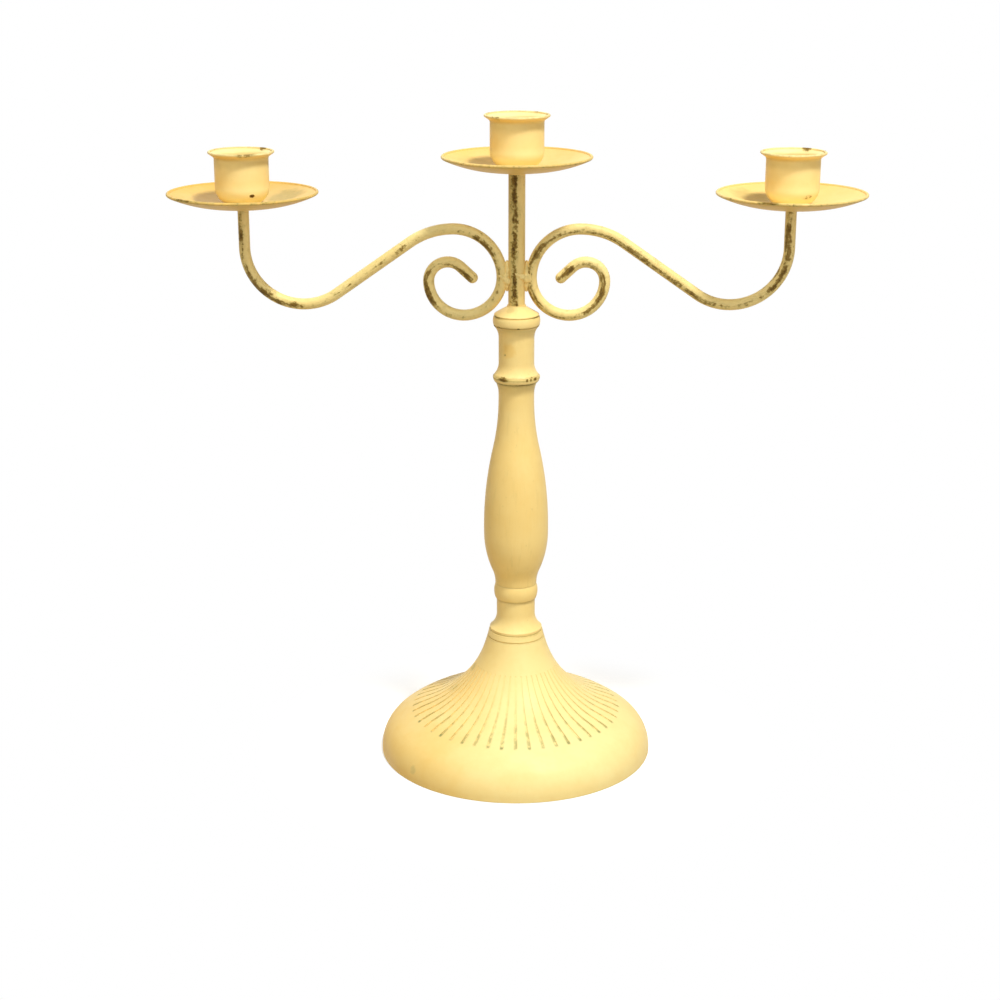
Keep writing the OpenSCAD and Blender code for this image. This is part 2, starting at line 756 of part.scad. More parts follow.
base_shell();
neck_ring();
lower_spool();
lower_ring();
baluster();
bead_ring();
upper_spool();
cap();
tie_rod();
clamp_washer();
clamp_nut();
stem_stud();
stem();
arm_left();
arm_right();
weld_left();
weld_right();
pan_welds();
pan_left();
pan_centre();
pan_right();
cup_left();
cup_centre();
cup_right();
cup_screws();
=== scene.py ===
import math

import bpy
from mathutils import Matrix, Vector


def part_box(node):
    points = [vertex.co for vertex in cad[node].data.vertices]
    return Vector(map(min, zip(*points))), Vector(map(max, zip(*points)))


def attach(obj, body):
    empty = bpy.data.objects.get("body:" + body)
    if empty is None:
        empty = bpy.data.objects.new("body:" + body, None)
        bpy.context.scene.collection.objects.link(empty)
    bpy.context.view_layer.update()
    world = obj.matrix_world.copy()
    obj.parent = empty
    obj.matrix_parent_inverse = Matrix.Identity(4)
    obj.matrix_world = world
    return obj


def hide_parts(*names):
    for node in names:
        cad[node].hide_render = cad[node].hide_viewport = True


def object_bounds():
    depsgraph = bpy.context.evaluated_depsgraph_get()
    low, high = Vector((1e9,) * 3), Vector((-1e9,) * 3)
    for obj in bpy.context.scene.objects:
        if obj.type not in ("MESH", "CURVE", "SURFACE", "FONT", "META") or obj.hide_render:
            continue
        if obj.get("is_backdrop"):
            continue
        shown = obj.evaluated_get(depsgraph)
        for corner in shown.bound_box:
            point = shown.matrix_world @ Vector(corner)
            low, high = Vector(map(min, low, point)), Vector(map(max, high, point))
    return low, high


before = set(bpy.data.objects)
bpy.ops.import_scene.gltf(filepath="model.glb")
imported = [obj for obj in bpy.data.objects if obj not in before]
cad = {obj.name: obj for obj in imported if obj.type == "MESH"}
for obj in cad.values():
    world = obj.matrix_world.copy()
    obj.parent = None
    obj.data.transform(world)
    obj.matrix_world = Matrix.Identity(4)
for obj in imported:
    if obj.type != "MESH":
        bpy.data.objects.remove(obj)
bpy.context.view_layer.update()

# Studio: a pale floor under soft light, and a camera in front of the
# candelabra, a little above its top, that looks down at it.
bpy.context.scene.view_settings.view_transform = "Standard"

CAMERA_PLACE = (0, -0.8875, 0.4086)
DEGREES_DOWN = 17.54
DEGREES_LEFT = 0.50
camera_data = bpy.data.cameras.new("camera")
camera_data.sensor_width = 36
camera_data.lens = 69.58
camera_data.clip_end = 50
camera = bpy.data.objects.new("camera", camera_data)
bpy.context.scene.collection.objects.link(camera)
camera.location = CAMERA_PLACE
camera.rotation_euler = (math.radians(90 - DEGREES_DOWN), 0, math.radians(DEGREES_LEFT))
bpy.context.scene.camera = camera

MIDDLE = Vector((0, 0, 0.15))


def lamp(name, place, width, level):
    """A square lamp that faces the candelabra's middle, and gives a white surface
    there that faces it the brightness level."""
    reach = Vector(place) - MIDDLE
    data = bpy.data.lights.new(name, "AREA")
    data.shape = "SQUARE"
    data.size = width
    data.energy = level * math.pi ** 2 * reach.length_squared
    made = bpy.data.objects.new(name, data)
    bpy.context.scene.collection.objects.link(made)
    made.location = place
    made.rotation_euler = reach.to_track_quat("Z", "Y").to_euler()


lamp("key_lamp", (0.55, -0.65, 1.98), 0.26, 0.78)
lamp("front_lamp", (0.5, -1.7, 0.7), 1.0, 0.20)
lamp("left_lamp", (-0.95, -1.15, 1.6), 0.5, 0.15)
lamp("back_lamp", (-0.6, 1.6, 1.3), 1.0, 0.14)


class Strand:
    """One value, vector, colour or shader in a node tree. Sums on it add Math nodes."""

    def __init__(self, tree, socket=None):
        self.tree = tree
        self.socket = socket

    def node(self, kind, settings=None, sockets=None, out=0):
        made = self.tree.nodes.new(kind)
        for name, value in (settings or {}).items():
            setattr(made, name, value)
        for name, value in (sockets or {}).items():
            if isinstance(value, Strand):
                self.tree.links.new(value.socket, made.inputs[name])
            else:
                made.inputs[name].default_value = value
        return Strand(self.tree, made.outputs[out]) if len(made.outputs) else None

    def math(self, operation, *others):
        """A Math node on this value and the others."""
        return self.node("ShaderNodeMath", {"operation": operation}, dict(enumerate((self, *others))))

    def __add__(self, other):
        return self.math("ADD", other)

    def __sub__(self, other):
        return self.math("SUBTRACT", other)

    def __rsub__(self, other):
        return self * -1 + other

    def __mul__(self, other):
        return self.math("MULTIPLY", other)

    def __truediv__(self, other):
        return self.math("DIVIDE", other)

    __radd__ = __add__
    __rmul__ = __mul__

    def rise(self, start, end):
        """0 up to start and 1 from end on, with a smooth rise between."""
        return self.node("ShaderNodeMapRange", {"interpolation_type": "SMOOTHSTEP"},
                         {"Value": self, "From Min": start, "From Max": end})

    def near(self, place, reach):
        """1 at place, falling smoothly to 0 at reach from it."""
        return (self - place).math("ABSOLUTE").rise(reach, 0)


def empty_tree(owner):
    """The node tree of a world or a material, emptied, to build on."""
    owner.use_nodes = True
    owner.node_tree.nodes.clear()
    return Strand(owner.node_tree)


def background_share(tree):
    """1 for the rays that show the background itself: camera, mirror and glass rays."""
    rays = [tree.node("ShaderNodeLightPath", out=kind)
            for kind in ("Is Camera Ray", "Is Glossy Ray", "Is Transmission Ray")]
    return sum(rays).rise(0, 1)


def grey(level):
    return (level, level, level, 1)


# The world lights the object softly and warmly, and shows itself as plain white.
WARM = (1.0, 0.91, 0.72, 1)
WORLD_LIGHT = 0.32
world = bpy.data.worlds.new("studio")
bpy.context.scene.world = world
tree = empty_tree(world)
own = background_share(tree)
tint = tree.node("ShaderNodeMix", {"data_type": "RGBA"}, {0: own, 6: WARM, 7: grey(1)}, 2)
strength = own * (1 - WORLD_LIGHT) + WORLD_LIGHT
sky = tree.node("ShaderNodeBackground", {}, {"Color": tint, "Strength": strength})
tree.node("ShaderNodeOutputWorld", {}, {"Surface": sky})

# The floor shows shadows only round the base. Farther out it is plain white.
FLOOR_RADIUS = 4
FLOOR_DROP = 0.0003
SHADED_TO = 0.072
PLAIN_FROM = 0.13
bpy.ops.object.select_all(action="DESELECT")
bpy.ops.mesh.primitive_circle_add(vertices=96, radius=FLOOR_RADIUS, fill_type="NGON",
                                  location=(0, 0, -FLOOR_DROP))
floor = bpy.context.object
floor.name = "floor"
floor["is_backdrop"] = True
floor_white = bpy.data.materials.new("floor_white")
floor.data.materials.append(floor_white)
tree = empty_tree(floor_white)
spot = tree.node("ShaderNodeTexCoord", out="Object")
from_middle = tree.node("ShaderNodeVectorMath", {"operation": "LENGTH"}, {0: spot}, "Value")
far = from_middle.rise(SHADED_TO, PLAIN_FROM)
matt = tree.node("ShaderNodeBsdfDiffuse", {}, {"Color": grey(0.8)})
dim = tree.node("ShaderNodeBsdfDiffuse", {}, {"Color": grey(0.45)})
glow = tree.node("ShaderNodeEmission", {}, {"Strength": 0.5})
plain = tree.node("ShaderNodeEmission", {}, {"Strength": 1.0})
shaded = tree.node("ShaderNodeAddShader", {}, {0: matt, 1: glow})
seen = tree.node("ShaderNodeMixShader", {}, {0: far, 1: shaded, 2: plain})
surface = tree.node("ShaderNodeMixShader", {}, {0: background_share(tree), 1: dim, 2: seen})
tree.node("ShaderNodeOutputMaterial", {}, {"Surface": surface})

# Base: one iron casting, hollow below and painted antique cream. Fine flutes run
# down its brow and each ends in a small pit, where brown wax from the antiquing
# has stayed.
MM_IN_M = 1000
UP = (0, 0, 1)
DOWN = (0, 0, -1)


def new_finish(name):
    """A material, with the place on the piece in millimetres."""
    finish = bpy.data.materials.new(name)
    metres = empty_tree(finish).node("ShaderNodeTexCoord", out="Object")
    place = metres.node("ShaderNodeVectorMath", {"operation": "SCALE"}, {0: metres, "Scale": MM_IN_M})
    return finish, place


def measure(place, axis):
    """How far the place lies along X, Y or Z, in millimetres."""
    return place.node("ShaderNodeSeparateXYZ", {}, {0: place}, axis)


def distance(place, point):
    return place.node("ShaderNodeVectorMath", {"operation": "DISTANCE"}, {0: place, 1: point}, "Value")


def towards(place, direction):
    """How far the surface faces a direction, from -1 to 1."""
    facing = place.node("ShaderNodeTexCoord", out="Normal")
    return place.node("ShaderNodeVectorMath", {"operation": "DOT_PRODUCT"},
                      {0: facing, 1: direction}, "Value")


def grain(place, size, detail=2, stretch=(1, 1, 1)):
    """Noise about 0.5 whose marks are about size millimetres, longer where stretch is above 1."""
    moved = place.node("ShaderNodeMapping", {"vector_type": "POINT"},
                       {"Vector": place, "Scale": [1 / s for s in stretch]})
    return place.node("ShaderNodeTexNoise", {},
                      {"Vector": moved, "Scale": 1 / size, "Detail": detail, "Roughness": 0.6}, "Fac")


def uneven(place, size, amount, detail=2, stretch=(1, 1, 1)):
    """The same noise about 0, mostly within half of amount either way."""
    return (grain(place, size, detail, stretch) - 0.5) * amount


def wavy_height(place, size, amount, stretch=(1, 1, 1)):
    """The height of the place, made uneven, so that a line at one height isn't ruled."""
    return measure(place, "Z") + uneven(place, size, amount, 2, stretch)


def smudge(place, point, reach, flat=1.0):
    """1 at a point of the piece, fading raggedly to 0 at reach millimetres from it,
    or at reach / flat upwards."""
    squashed = place.node("ShaderNodeVectorMath", {"operation": "MULTIPLY"}, {0: place, 1: (1, 1, flat)})
    away = distance(squashed, (point[0], point[1], point[2] * flat))
    return (away + uneven(place, reach * 0.6, reach * 0.8)).rise(reach, reach * 0.45)


def blend(share, first, second):
    """Colour that goes from first to second with share."""
    first, second = [c if isinstance(c, Strand) else (*c, 1) for c in (first, second)]
    return share.node("ShaderNodeMix", {"data_type": "RGBA"}, {0: share, 6: first, 7: second}, 2)


# The paint with its tone painted paler where light falls and more golden where
# shade falls, the wax and painted shade in seams and hollows, the greener wax in
# flutes, and paint rubbed thin to brown and to dark metal.
CREAM = (0.980, 0.742, 0.292)
LEMON = (0.970, 0.832, 0.385)
HONEY = (0.880, 0.515, 0.090)
OLIVE = (0.430, 0.342, 0.098)
MOSS = (0.370, 0.360, 0.135)
BROWN = (0.240, 0.140, 0.020)
BARE = (0.075, 0.040, 0.008)

# Surfaces facing the first direction, up towards the key lamp, are painted paler as painted light. Those
# facing the second, down and away, are painted more golden as painted shade.
LIGHTWARD = (0.15, -0.35, 0.92)
SHADEWARD = (-0.55, 0.05, -0.83)

# Ways of brushing: drawn out upwards, or dabbed on.
UPRIGHT = (1, 1, 8)
DABBED = (3, 3, 3)


def cream_paint(finish, place, wax_and_painted_shade, worn, honey_and_painted_shade=0.3, brushed=UPRIGHT, pale_and_painted_light=0.0, palest=LEMON, wax_and_shade_colour=OLIVE):
    """Antique cream paint, painted paler where it faces up towards the key lamp, as
    painted light, and more golden where it faces down and away, as painted shade.

    The wax mask, which also carries painted shade, is 1 under its colour, and worn
    is above 0 where the paint is rubbed to dark metal. The honey share, which also
    carries painted shade, is how golden the paint is as a whole, and the pale share,
    which also carries painted light, how far it has gone to palest. brushed is how
    far the brush has drawn its marks along X, Y and Z."""
    cloud = grain(place, 26, 3).rise(0.30, 0.72)
    brush = grain(place, 0.9, 3, brushed)
    fleck = grain(place, 0.6, 2).rise(0.64, 0.76)
    # Painted light and painted shade, set by the way the surface faces.
    painted_light_paler = towards(place, LIGHTWARD).rise(0.0, 0.85)
    painted_shade_golden = towards(place, SHADEWARD).rise(0.10, 1.0)
    stained = worn.rise(-0.22, 0.0)
    thin = worn.rise(-0.12, 0.06)
    bare = worn.rise(0.06, 0.20)
    metal = blend(grain(place, 1.2, 2).rise(0.42, 0.66), BARE, BROWN)
    colour = blend(painted_light_paler * 0.45 + pale_and_painted_light, CREAM, palest)
    colour = blend(cloud * 0.20 + brush * 0.16 + painted_shade_golden * 0.45 + (honey_and_painted_shade - 0.24), colour, HONEY)
    colour = blend(fleck * 0.10, colour, OLIVE)
    colour = blend(wax_and_painted_shade * (0.6 + 0.4 * brush) + stained * 0.36, colour, wax_and_shade_colour)
    colour = blend(thin * 0.90, colour, BROWN)
    colour = blend(bare * 0.85, colour, metal)
    rough = 0.38 + cloud * 0.08 + brush * 0.08 + bare * 0.30 + wax_and_painted_shade * 0.12
    height = brush * 0.10 + grain(place, 2.6, 2) * 0.25 - bare * 0.8 - wax_and_painted_shade * 0.2
    bump = place.node("ShaderNodeBump", {}, {"Strength": 0.55, "Distance": 0.00012, "Height": height})
    skin = place.node("ShaderNodeBsdfPrincipled", {},
                      {"Base Color": colour, "Roughness": rough, "Normal": bump,
                       "Specular IOR Level": 0.22})
    place.node("ShaderNodeOutputMaterial", {}, {"Surface": skin})
    return finish


def dress(node, finish):
    cad[node].material_slots[0].material = finish


# In millimetres, here and below: a seam, line or streak is its place and half its
# width, and a fade is its start and end.
FLUTES = 48
FLUTE_SPREAD = math.radians(1.3)
FLUTES_FADE_IN = (20, 46)
FLUTES_FADE_OUT = (52.0, 50.8)
PITS = (50.6, 1.5)
BASE_SEAM = (58.9, 0.9)
# The largest mark, high on the left side, is a smudge that also stands in for painted shade there.
BASE_MARKS = [((-49, -43.5, 6), 2.6, 0.30), ((-33, -3, 36), 7, 0.55), ((-20, -2, 42), 3.5, 0.40)]
finish, place = new_finish("base_paint")
x, y, z = [measure(place, axis) for axis in "XYZ"]
radius = (x * x + y * y).math("SQRT")
turn = y.math("ARCTAN2", x) * (FLUTES / (2 * math.pi)) + 0.5
aside = (turn.math("FRACT") - 0.5) * radius * (2 * math.pi / FLUTES) + uneven(place, 9, 0.5)
aside = aside.math("ABSOLUTE")
number = turn.math("FLOOR")
chance = number.node("ShaderNodeTexWhiteNoise", {"noise_dimensions": "1D"}, {"W": number}, "Value")
groove = (aside / (radius * FLUTE_SPREAD)).rise(1.25, 0.15)
groove = groove * radius.rise(*FLUTES_FADE_IN) * radius.rise(*FLUTES_FADE_OUT)
groove = groove * (grain(place, 3.2, 2).rise(0.38, 0.60) * 0.80 + 0.20)
pit = aside.rise(1.05, 0.30) * radius.near(*PITS) * chance.rise(0.10, 0.7)
crease = wavy_height(place, 3, 0.9).near(*BASE_SEAM)
outside = towards(place, UP).rise(-0.15, 0.05)
hollow = (groove * 0.85 + pit * 0.90) * outside + crease * 0.28
marks = sum(smudge(place, spot, reach) * weight for spot, reach, weight in BASE_MARKS)
inside = towards(place, DOWN).rise(0.15, 0.45) * z.rise(0.2, 1.5)
wax_and_painted_shade = hollow + marks + inside * grain(place, 7, 3).rise(0.30, 0.70) * 0.6
worn = grain(place, 1.6, 3) * 0.5 + z.rise(1.4, 0.1) * x.rise(20, -45) * 0.12 - 0.56
worn = worn + inside * (grain(place, 14, 3) - 0.34) * 0.9
# Painted shade and light: more golden on the left, at the outer rim and at the bottom, and paler at the
# front right, where the key lamp falls.
golden_painted_shade = x.rise(30, -66) * 0.40 + radius.rise(54, 66.4) * 0.14 + z.rise(10, 1) * 0.06 + 0.04
painted_light_paler = y.rise(0, -50) * x.rise(-50, 0) * 0.45
dress("base_shell", cream_paint(finish, place, wax_and_painted_shade, worn, golden_painted_shade, DABBED, painted_light_paler, wax_and_shade_colour=MOSS))

# Neck ring and lower spool: turned steel sections that stand on the base, one on
# the other. Soft wax has settled in the grooves between them, darkest at the
# right.
NECK_SEAM = (59.1, 0.9)
NECK_GROOVE = (62.2, 0.8)


def chips(place, size, rare=0.86, stretch=(1, 1, 1)):
    """Wear in chips of about size millimetres. A higher value of rare leaves fewer of them."""
    return grain(place, size, 3, stretch) - rare


finish, place = new_finish("neck_ring_paint")
height = wavy_height(place, 3, 0.8)
right = measure(place, "X").rise(-4, 8)
wax_and_painted_shade = height.near(*NECK_SEAM) * 0.3 + height.near(*NECK_GROOVE) * (right * 0.4 + 0.35)
dress("neck_ring", cream_paint(finish, place, wax_and_painted_shade, chips(place, 1.5, 0.90), 0.14))

LOWER_SPOOL_FOOT = (62.4, 0.7)
LOWER_SPOOL_LIP = (63.6, 0.8)
LOWER_SPOOL_TOP = (78.3, 1.2)
finish, place = new_finish("lower_spool_paint")
height = wavy_height(place, 4, 0.8)
wax_and_painted_shade = height.near(*LOWER_SPOOL_FOOT) * 0.6 + height.near(*LOWER_SPOOL_TOP) * 0.35
worn = chips(place, 1.8) + height.near(*LOWER_SPOOL_LIP) * 0.04
dress("lower_spool", cream_paint(finish, place, wax_and_painted_shade, worn, 0.22))

# Lower ring: a plain rounded ring of turned steel between the spool and the
# baluster. A little wax lines the seams under and over it.
LOWER_RING_FOOT = (78.5, 0.9)
LOWER_RING_TOP = (86.4, 0.7)
finish, place = new_finish("lower_ring_paint")
height = wavy_height(place, 4, 0.7)
wax_and_painted_shade = height.near(*LOWER_RING_FOOT) * 0.55 + height.near(*LOWER_RING_TOP) * 0.4
dress("lower_ring", cream_paint(finish, place, wax_and_painted_shade, chips(place, 1.6), 0.30))

# Baluster: the long swelling section, turned and hollow. Its paint was brushed on
# lengthwise, and the brush has left fine upright streaks.
BALUSTER_LOW = (108, 88)
BALUSTER_HIGH = (180, 186.9)
BALUSTER_EDGE = (185.6, 186.9)
LONG_STREAKS = (1, 1, 14)
finish, place = new_finish("baluster_paint")
z = measure(place, "Z")
low = z.rise(*BALUSTER_LOW) * grain(place, 12, 2).rise(0.3, 0.7)
high = z.rise(*BALUSTER_HIGH)
streaks = grain(place, 2.2, 3, LONG_STREAKS).rise(0.54, 0.78)
# The top, under the bead ring, is darkened as a painted shadow of the ring.
wax_and_painted_shade = low * 0.20 + high * 0.38 + z.rise(*BALUSTER_EDGE) * 0.3 + streaks * 0.14
worn = chips(place, 1.4, stretch=(1, 1, 2))
dress("baluster", cream_paint(finish, place, wax_and_painted_shade, worn, 0.34, LONG_STREAKS))

# Bead ring: the narrow turned ring over the baluster. Its upper seam is worn black
# at the front left and, in three dashes, at the front right, and brown wax lines
# the lower one.
BEAD_TOP = (189.6, 1.2)
BEAD_FOOT = (186.9, 1.4)
DASHES = [(-6.2, 3.4, 1.0), (5.0, 0.8, 0.90), (6.8, 0.6, 0.81), (8.8, 1.2, 0.90)]
finish, place = new_finish("bead_ring_paint")
x, y = measure(place, "X"), measure(place, "Y")
upper = wavy_height(place, 3, 0.6, (1, 1, 4)).near(*BEAD_TOP)
lower = wavy_height(place, 3, 0.3, (1, 1, 4)).near(*BEAD_FOOT)
dashes = sum(x.near(middle, reach) * weight for middle, reach, weight in DASHES)
wax_and_painted_shade = upper * 0.75 + lower * 0.9
worn = upper * dashes * y.rise(1, -2) * 0.54 + lower * (0.16 + 0.18 * x.near(3.0, 7))
worn = worn + uneven(place, 0.9, 0.25) - 0.22
dress("bead_ring", cream_paint(finish, place, wax_and_painted_shade, worn, 0.26))

# Upper spool and cap: the turned top of the column, which the head is screwed
# into. A thin dark line marks the cap's top edge, and brown wax dots sit in the
# seam under its band.
UPPER_SPOOL_SEAM = (190.5, 0.7)
UPPER_SPOOL_FLARE = (209.5, 213.8)
finish, place = new_finish("upper_spool_paint")
x, y = measure(place, "X"), measure(place, "Y")
seam = wavy_height(place, 3, 0.9).near(*UPPER_SPOOL_SEAM)
# The flare under the cap is darkened as a painted shadow of the cap's overhang, and wax lines the seam at
# the spool's foot.
wax_and_painted_shade = measure(place, "Z").rise(*UPPER_SPOOL_FLARE) * 0.40 + seam * 0.5
worn = seam * (x.near(-6.0, 3.0) + x.near(6.8, 2.6) * 0.7) * y.rise(1, -2) * 0.34
worn = worn + smudge(place, (-5.4, -6.2, 201.2), 1.2) * 0.18 + uneven(place, 1.3, 0.6, 3) - 0.26
stain_and_painted_shadow = smudge(place, (-3.5, -7.5, 203.5), 4.5) * 0.30
dress("upper_spool", cream_paint(finish, place, wax_and_painted_shade, worn, stain_and_painted_shadow + 0.24))

CAP_EDGE = (218.7, 0.85)
CAP_SEAM = (214.3, 0.9)
finish, place = new_finish("cap_paint")
edge = wavy_height(place, 3, 0.42).near(*CAP_EDGE)
seam = wavy_height(place, 3, 0.7).near(*CAP_SEAM)
ends = measure(place, "X").math("ABSOLUTE").rise(4.5, 9.5)
wax_and_painted_shade = edge * (ends * 0.6 + 0.30) + seam * 0.5 + smudge(place, (-2.8, -5.2, 221.6), 2.6) * 0.35
worn = edge * ends * 0.24 + seam * grain(place, 1.8, 1).rise(0.55, 0.66) * 0.34
worn = worn + uneven(place, 1.1, 0.5, 3) - 0.26
dress("cap", cream_paint(finish, place, wax_and_painted_shade, worn, 0.16))

# Rods and screws: plain steel, not painted. A tie rod with a washer and a nut
# under the base clamps the column's sections together, a threaded stud joins the
# head to the cap, and a slotted screw holds each cup.
STEEL = (0.55, 0.54, 0.52)
DULLED = (0.20, 0.15, 0.11)


def bare_steel(name):
    finish, place = new_finish(name)
    scratch = grain(place, 0.35, 3, (6, 6, 1))
    stain_and_painted_shadow = grain(place, 4, 4).rise(0.5, 0.75)
    tint = blend(stain_and_painted_shadow * 0.5, STEEL, DULLED)
    rough = stain_and_painted_shadow * 0.2 + scratch * 0.1 + 0.30
    bump = place.node("ShaderNodeBump", {}, {"Strength": 0.4, "Distance": 0.00004, "Height": scratch})
    skin = place.node("ShaderNodeBsdfPrincipled", {},
                      {"Base Color": tint, "Metallic": 1.0, "Roughness": rough, "Normal": bump})
    place.node("ShaderNodeOutputMaterial", {}, {"Surface": skin})
    return finish


# Sides of one turn of thread, and in pitches how deep it is cut and the core's
# ends are chamfered.
TURN_STEPS = 28
THREAD_DEPTH = 0.45
CHAMFER = 0.3


def threaded_rod(name, radius, low, high, pitch):
    """A rod along the Z axis with a screw thread from end to end, its sizes in millimetres.
    The thread is a square on edge, wound round a plain core with chamfered ends."""
    bpy.ops.object.select_all(action="DESELECT")
    bpy.ops.mesh.primitive_circle_add(
        vertices=4, radius=pitch / 2 / MM_IN_M, rotation=(math.pi / 2, 0, 0),
        location=((radius - pitch / 2) / MM_IN_M, 0, (low + pitch / 2) / MM_IN_M))
    ridge = bpy.context.object
    bpy.ops.object.transform_apply(location=True, rotation=True, scale=True)
    winding = ridge.modifiers.new("winding", "SCREW")
    winding.screw_offset = pitch / MM_IN_M
    winding.iterations = int((high - low) / pitch) - 1
    winding.steps = TURN_STEPS
    winding.render_steps = TURN_STEPS
    bpy.ops.object.modifier_apply(modifier="winding")
    bpy.ops.object.mode_set(mode="EDIT")
    bpy.ops.mesh.select_all(action="SELECT")
    bpy.ops.mesh.fill_holes(sides=4)
    bpy.ops.mesh.normals_make_consistent(inside=False)
    bpy.ops.object.mode_set(mode="OBJECT")
    bpy.ops.object.select_all(action="DESELECT")
    bpy.ops.mesh.primitive_cylinder_add(
        vertices=40, radius=(radius - pitch * THREAD_DEPTH) / MM_IN_M, depth=(high - low) / MM_IN_M,
        location=(0, 0, (low + high) / 2 / MM_IN_M))
    core = bpy.context.object
    bpy.ops.object.transform_apply(location=True, rotation=True, scale=True)
    chamfer = core.modifiers.new("chamfer", "BEVEL")
    chamfer.width = pitch * CHAMFER / MM_IN_M
    bpy.ops.object.modifier_apply(modifier="chamfer")
    ridge.select_set(True)
    bpy.ops.object.join()
    core.name = name
    bpy.ops.object.shade_smooth_by_angle(angle=math.radians(35))
    return core


for node in ("clamp_washer", "clamp_nut", "cup_screws"):
    dress(node, bare_steel(node + "_steel"))
for node, body, pitch in (("tie_rod", "column", 1.0), ("stem_stud", "stud", 0.8)):
    low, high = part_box(node)
    rod = threaded_rod(node + "_thread", high[0] * MM_IN_M, low[2] * MM_IN_M, high[2] * MM_IN_M, pitch)
    rod.data.materials.append(bare_steel(node + "_steel"))
    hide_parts(node)
    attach(rod, body)

# Stem: the straight middle rod of the head, round steel with the stud in its lower
# end. A ragged dark streak runs down its front and a weaker one down its back,
# where the paint is rubbed off.
FRONT_STREAK = (-1.2, 2.7)
FRONT_WAX = (-1.7, 4.6)
BACK_STREAK = (1.4, 1.8)
finish, place = new_finish("stem_paint")
x, y = measure(place, "X"), measure(place, "Y")
across = x + uneven(place, 10, 2.4, 2, (1, 1, 2)) + uneven(place, 1.8, 1.8, 3)
front = across.near(*FRONT_STREAK) * y.rise(0.5, -0.8)
back = across.near(*BACK_STREAK) * y.rise(-0.5, 0.8)
broken = grain(place, 4, 2, (1, 1, 2)).rise(0.32, 0.58)
worn = (front + back * 0.8) * (0.22 + 0.36 * broken) + uneven(place, 1.3, 1.1, 4) - 0.33
wax_and_painted_shade = across.near(*FRONT_WAX) * y.rise(1.5, -1.0) * 0.62
wax_and_painted_shade = wax_and_painted_shade + grain(place, 3, 3, (1, 1, 3)).rise(0.5, 0.8) * 0.35
dress("stem", cream_paint(finish, place, wax_and_painted_shade, worn, 0.32, UPRIGHT, 0.3))

# Arms: round steel rod, bent cold to its curves and scroll and welded to the stem.
# They are the most handled part, and a broken line along their front and back is
# rubbed down to brown and to metal.
ROD_RADIUS = 2.6
FINELY_DABBED = (2, 2, 2)


def streaks_along(place, width, length):
    """Noise about 0.5 in streaks that follow a round rod, their width and length in millimetres."""
    facing = place.node("ShaderNodeTexCoord", out="Normal")
    around = place.node("ShaderNodeVectorMath", {"operation": "SCALE"},
                        {0: facing, "Scale": ROD_RADIUS * length / width})
    return grain(place.node("ShaderNodeVectorMath", {"operation": "ADD"}, {0: place, 1: around}), length, 2)


# The direction that the rubbed line faces, and its worst patches: X, Z, reach and
# weight.
RUBBED = {"left": (-0.49, -0.85, -0.20), "right": (-0.34, -0.91, -0.24)}
WORST = {"left": [(-14, 254, 11, 0.22), (-39, 232, 11, 0.18), (-22, 238, 8, 0.20), (-60, 248, 17, 0.09),
                  (-103, 221, 10, 0.18), (-118, 230, 13, 0.20), (-126, 258, 9, 0.10)],
         "right": [(10, 248, 9, 0.20), (24, 239, 8, 0.20), (38, 226, 14, 0.20), (56, 252, 11, 0.12),
                   (72, 240, 8, 0.06), (121, 234, 13, 0.24), (127, 249, 15, 0.22)]}
for side in ("left", "right"):
    finish, place = new_finish(f"arm_{side}_paint")
    swerve = towards(place, (1, 0, 0)) * uneven(place, 16, 1.1, 1)
    rub = (towards(place, RUBBED[side]) + swerve + uneven(place, 2.0, 0.30, 3)).math("ABSOLUTE")
    patch = grain(place, 8, 2) * 0.8
    for worst_x, worst_z, reach, weight in WORST[side]:
        patch = patch + distance(place, (worst_x, -2, worst_z)).rise(reach, reach * 0.3) * weight
    ragged = uneven(place, 1.2, 0.55, 4) + (streaks_along(place, 1.1, 9) - 0.5) * 0.65
    worn = rub.rise(0.70, 1.0) * 0.40 + (patch - 0.5) + ragged - 0.33
    wax_and_painted_shade = rub.rise(0.45, 1.0) * 0.32 + (grain(place, 3.2, 3) - 0.5).rise(0.02, 0.3) * 0.50
    dress(f"arm_{side}", cream_paint(finish, place, wax_and_painted_shade, worn, 0.24, FINELY_DABBED, 0.3))

# Welds between stem and arms: lumpy beads, smeared over with filler before the
# paint, and a smear of it crosses the front of the stem.
FINEST = 0.2
KNOB_WIDTH = 1.8
KNOB_HEIGHT = 0.9


def lump(place, radii, tilt=0):
    """One smooth lump, its sizes in millimetres, tipped about the Y axis."""
    bpy.ops.mesh.primitive_ico_sphere_add(subdivisions=4, radius=1 / MM_IN_M,
                                          location=[p / MM_IN_M for p in place],
                                          rotation=(0, math.radians(tilt), 0))
    bpy.context.object.scale = radii
    return bpy.context.object


